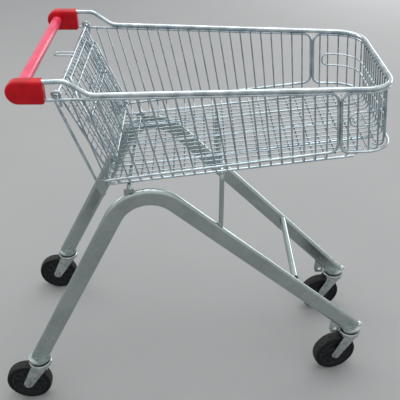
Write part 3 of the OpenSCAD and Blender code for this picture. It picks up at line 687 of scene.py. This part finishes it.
for side, out in (("left", 1), ("right", -1)):
    bm = bmesh.new()
    for low, high in wires[side]:
        tall = high.z - low.z
        if tall < UPRIGHT:
            continue
        for drop in (BELOW_TOP, tall - ABOVE_FOOT):
            spot = high - (high - low) / tall * drop + Vector((0, out * NUGGET_OUT, 0))
            made = bmesh.ops.create_icosphere(bm, subdivisions=1, radius=NUGGET)["verts"]
            bmesh.ops.transform(bm, verts=made, matrix=Matrix.Translation(spot)
                                @ Matrix.Diagonal((*NUGGET_SQUASH, 1)))
    piece("side_nuggets_" + side, bm, "frame", weld)
print("nuggets pressed on the left and right wires")

# %% [markdown]
# ## Handle caps
# Each cap is a moulded shell, half round at the back and soft on every edge. Its side outline is
# made as one face, extruded to the cap's thickness, and bevelled: that gives an even soft edge.

# %% Mould the caps
CAP_EDGE = 0.0085
CAP_CORNER = 0.006


def cap_outline(low, high):
    radius = (high.z - low.z) / 2
    middle = (high.z + low.z) / 2
    back = rounded((low.x + radius, middle), radius, 90, 270, count=24)
    front = high.x - CAP_CORNER
    lower = rounded((front, low.z + CAP_CORNER), CAP_CORNER, 270, 360)
    upper = rounded((front, high.z - CAP_CORNER), CAP_CORNER, 0, 90)
    return back + lower + upper


for side in ("left", "right"):
    name = "handle_cap_" + side
    low, high = (Vector(v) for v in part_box(name))
    bm = bmesh.new()
    ring = [bm.verts.new((x, low.y, z)) for x, z in cap_outline(low, high)]
    face = bm.faces.new(ring)
    moved = bmesh.ops.extrude_face_region(bm, geom=[face])["geom"]
    far = [v for v in moved if isinstance(v, bmesh.types.BMVert)]
    bmesh.ops.translate(bm, verts=far, vec=(0, high.y - low.y, 0))
    rims = [e for e in bm.edges if abs(e.verts[0].co.y - e.verts[1].co.y) < 1e-6]
    bmesh.ops.bevel(bm, geom=rims, offset=CAP_EDGE, offset_type="OFFSET", segments=6,
                    profile=0.5, affect="EDGES", material=-1, clamp_overlap=True)
    cap = piece("moulded_cap_" + side, bm, "frame", cap_red)
    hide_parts(name)
print("cap is", round((high.x - low.x) * 1000), "mm long")

# %% [markdown]
# ## The floor and the light
# A pale floor and large soft lights suit bright metal: what a polished rod shows is mostly its
# surroundings, so the room is bright above and darker at the horizon.

# %% Lay the floor
def floor_finish():
    f = Finish("pale_floor")
    cloud = f.noise(0.5, detail=4)
    grain = f.noise(0.004, detail=4)
    base = f.mix(cloud, (0.315, 0.311, 0.31), (0.355, 0.350, 0.348))
    base = f.mix(grain * 0.12, base, (0.24, 0.24, 0.236))
    return f.surface(base_color=base, roughness=0.85, normal=f.bump(grain, 0.0003))


FLOOR_HALF = 6.0
bm = bmesh.new()
bmesh.ops.create_grid(bm, x_segments=1, y_segments=1, size=FLOOR_HALF)
mesh = bpy.data.meshes.new("floor")
bm.to_mesh(mesh)
bm.free()
mesh.materials.append(floor_finish())
ground = bpy.data.objects.new("floor", mesh)
scene.collection.objects.link(ground)
print("floor", 2 * FLOOR_HALF, "m across")

# %% [markdown]
# Three soft boxes light the cart. The wide one hangs above it. A low one stands beyond it and is
# what the tubes' narrow top faces reflect, and a small one lifts the back. None is seen itself.

# %% Hang the lights
def soft_light(name, place, size, watts, aim=(0, 0, 0.5), tint=(1, 1, 1)):
    data = bpy.data.lights.new(name, "AREA")
    data.shape = "RECTANGLE"
    data.size, data.size_y = size
    data.energy = watts
    data.color = tint
    lamp = bpy.data.objects.new(name, data)
    lamp.location = place
    lamp.rotation_euler = (Vector(aim) - Vector(place)).to_track_quat("-Z", "Y").to_euler()
    lamp.visible_camera = False
    scene.collection.objects.link(lamp)


soft_light("overhead", (0.3, 0.6, 3.4), (2.6, 2.6), 46, tint=(0.97, 0.99, 1.0))
soft_light("low_beyond_the_cart", (2.7, 3.9, 1.0), (4.6, 2.0), 75, tint=(0.98, 0.99, 1.0))
soft_light("from_behind", (-2.6, 1.6, 2.2), (1.8, 1.6), 16, tint=(1.0, 0.98, 0.96))

# %% [markdown]
# The room is a plain gradient, bright above and dimmer at the horizon, so that a round rod shows a
# bright upper line and a darker lower one. It is made with the same method as the finishes.

# %% Make the room's glow
HORIZON = (0.62, 0.64, 0.65)
ABOVE = (0.95, 0.98, 1.0)
FULL_HEIGHT = 0.65
GLOW = 0.92

sky = bpy.data.worlds.new("soft_room")
scene.world = sky
sky.use_nodes = True
room = Nodes(sky.node_tree)
outwards = room.add("ShaderNodeTexCoord", output="Generated")
height = room.add("ShaderNodeSeparateXYZ", {}, {0: outwards}, output="Z")
tone = room.add("ShaderNodeValToRGB", {"stops": [(0.0, HORIZON), (FULL_HEIGHT, ABOVE)]}, {0: height})
glow = room.add("ShaderNodeBackground", {}, {"Color": tone, "Strength": GLOW})
room.add("ShaderNodeOutputWorld", {}, {"Surface": glow})
print("room glow", GLOW)
